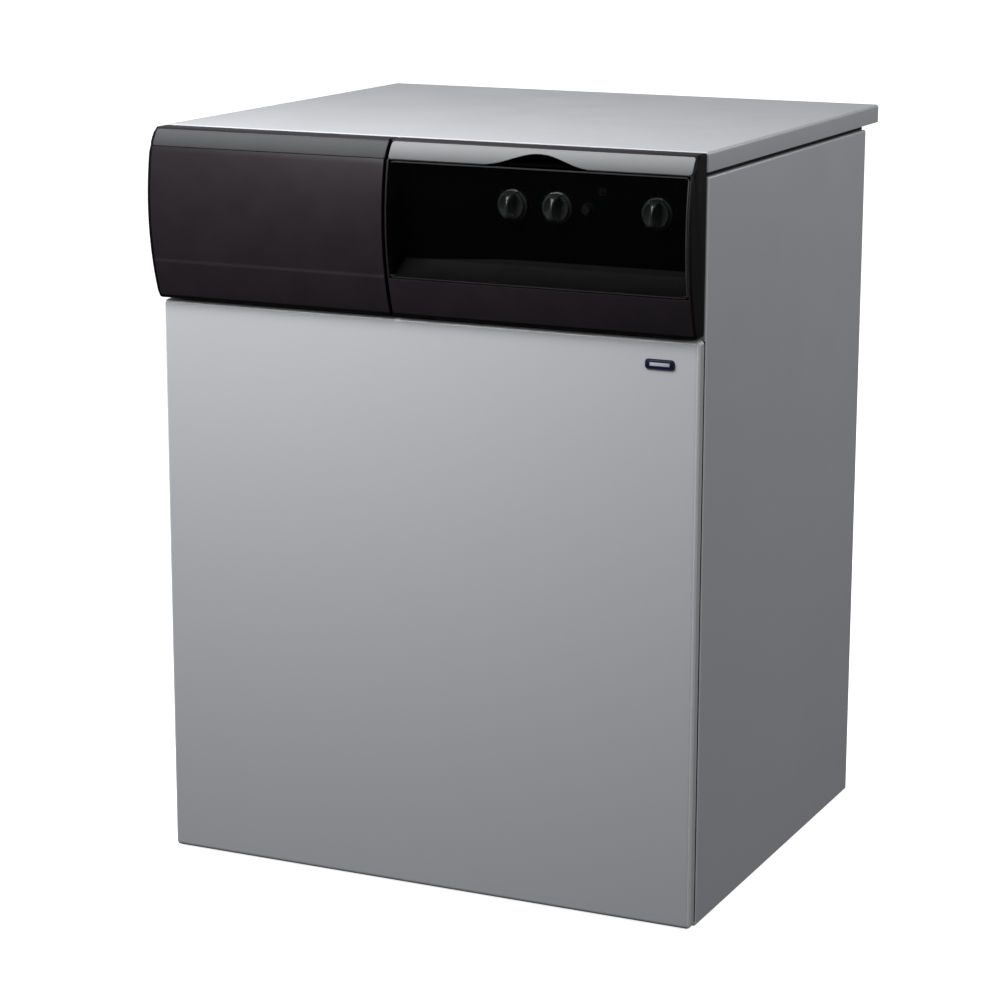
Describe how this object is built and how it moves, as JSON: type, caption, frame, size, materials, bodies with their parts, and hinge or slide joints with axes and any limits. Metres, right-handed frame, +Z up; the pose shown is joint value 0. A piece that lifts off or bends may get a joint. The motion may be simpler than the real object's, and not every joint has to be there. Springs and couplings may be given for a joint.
{
  "type": "floor-standing gas boiler",
  "caption": "Floor-standing cast-iron gas boiler with atmospheric burner, storage cylinder, grey sheet-steel casing, lift-off lid and convex dark fascia with a hinged smoked control flap.",
  "frame": {"origin": "on the floor, under the middle of the casing's bounding box", "axes": "+Z up, +X to the right seen from the front, the front faces -Y"},
  "size_m": [0.65, 0.6159, 0.85],
  "materials": {
    "painted_steel": "satin light grey stoved enamel",
    "dark_plastic": "satin anthracite moulding",
    "black_plastic": "satin black moulding",
    "smoked_acrylic": "glossy dark smoked acrylic",
    "rubber": "matte black seal",
    "galvanised_steel": "galvanised sheet",
    "cast_iron": "rough sand casting",
    "stainless_steel": "bare stainless sheet",
    "mineral_wool": "pressed mineral wool",
    "brass": "machined brass",
    "cast_aluminium": "die cast",
    "yellow_plastic": "satin yellow lever",
    "brown_plastic": "moulded impeller",
    "copper": "drawn copper tube",
    "red_enamel": "gloss red",
    "circuit_green": "lacquered board",
    "lamp_lens": "amber lens",
    "badge_blue": "plain enamelled plate"
  },
  "bodies": {
    "casing": {"left_side_panel": "painted_steel", "right_side_panel": "painted_steel", "lid_seal_left": "rubber", "lid_seal_right": "rubber", "base_frame": "galvanised_steel", "back_panel": "galvanised_steel", "front_crossbar": "galvanised_steel", "bay_partition": "galvanised_steel", "fascia_left_cover": "dark_plastic", "fascia_right_frame": "dark_plastic", "fascia_left_end_cap": "black_plastic", "fascia_right_end_cap": "black_plastic", "control_panel": "black_plastic", "mode_switch": "black_plastic", "heating_thermostat": "black_plastic", "hot_water_thermostat": "black_plastic", "indicator_lamp": "lamp_lens", "control_box": "galvanised_steel", "circuit_board": "circuit_green", "exchanger_front_section": "cast_iron", "exchanger_middle_section": "cast_iron", "exchanger_rear_section": "cast_iron", "tie_rod_left": "stainless_steel", "tie_rod_right": "stainless_steel", "insulation_jacket": "mineral_wool", "flue_hood": "galvanised_steel", "flue_spigot": "galvanised_steel", "burner_tray": "stainless_steel", "burner_front_plate": "stainless_steel", "burner_bar_1": "stainless_steel", "burner_bar_2": "stainless_steel", "burner_bar_3": "stainless_steel", "burner_bar_4": "stainless_steel", "gas_manifold": "brass", "gas_valve": "cast_aluminium", "valve_solenoid": "black_plastic", "gas_inlet_pipe": "copper", "gas_cock": "brass", "pilot_burner": "stainless_steel", "pump_volute": "cast_iron", "pump_motor": "red_enamel", "expansion_vessel": "red_enamel", "storage_cylinder": "stainless_steel", "cylinder_jacket": "mineral_wool", "flow_pipe": "copper", "pump_outlet_pipe": "copper", "return_pipe": "copper", "hot_water_pipe": "copper", "cold_water_pipe": "copper", "safety_valve": "brass"},
    "front_panel": {"front_panel": "painted_steel", "badge_plate": "badge_blue"},
    "lid": {"lid": "painted_steel"},
    "flap": {"control_flap": "smoked_acrylic"},
    "mode_knob": {"mode_knob": "black_plastic"},
    "heating_knob": {"heating_knob": "black_plastic"},
    "hot_water_knob": {"hot_water_knob": "black_plastic"},
    "reset_button": {"reset_button": "black_plastic"},
    "gas_cock_lever": {"gas_cock_lever": "yellow_plastic"},
    "pump_impeller": {"pump_impeller": "brown_plastic"}
  },
  "joints": [
    {"name": "front_panel_pull_off", "type": "slide", "parent": "casing", "child": "front_panel", "axis": [0, -1, 0], "range_m": [0, 0.25]},
    {"name": "lid_lift_off", "type": "slide", "parent": "casing", "child": "lid", "axis": [0, 0, 1], "range_m": [0, 0.15]},
    {"name": "flap_open", "type": "hinge", "parent": "casing", "child": "flap", "pos_m": [0.1466, -0.3005, 0.7022], "axis": [1, 0, 0], "range_deg": [0, 90]},
    {"name": "mode_knob_turn", "type": "hinge", "parent": "casing", "child": "mode_knob", "pos_m": [0.105, -0.2673, 0.783], "axis": [0, 1, 0], "range_deg": [-45, 90]},
    {"name": "heating_knob_turn", "type": "hinge", "parent": "casing", "child": "heating_knob", "pos_m": [0.157, -0.2673, 0.783], "axis": [0, 1, 0], "range_deg": [0, 270]},
    {"name": "hot_water_knob_turn", "type": "hinge", "parent": "casing", "child": "hot_water_knob", "pos_m": [0.271, -0.2673, 0.783], "axis": [0, 1, 0], "range_deg": [0, 270]},
    {"name": "reset_button_press", "type": "slide", "parent": "casing", "child": "reset_button", "axis": [0, 1, 0], "range_m": [0, 0.002], "stiffness_N_per_m": 300},
    {"name": "gas_cock_turn", "type": "hinge", "parent": "casing", "child": "gas_cock_lever", "pos_m": [0.3, -0.2423, 0.25], "axis": [0, 1, 0], "range_deg": [0, 90]},
    {"name": "pump_impeller_spin", "type": "hinge", "parent": "casing", "child": "pump_impeller", "pos_m": [-0.105, -0.15, 0.15], "axis": [0, 1, 0], "continuous": true}
  ]
}
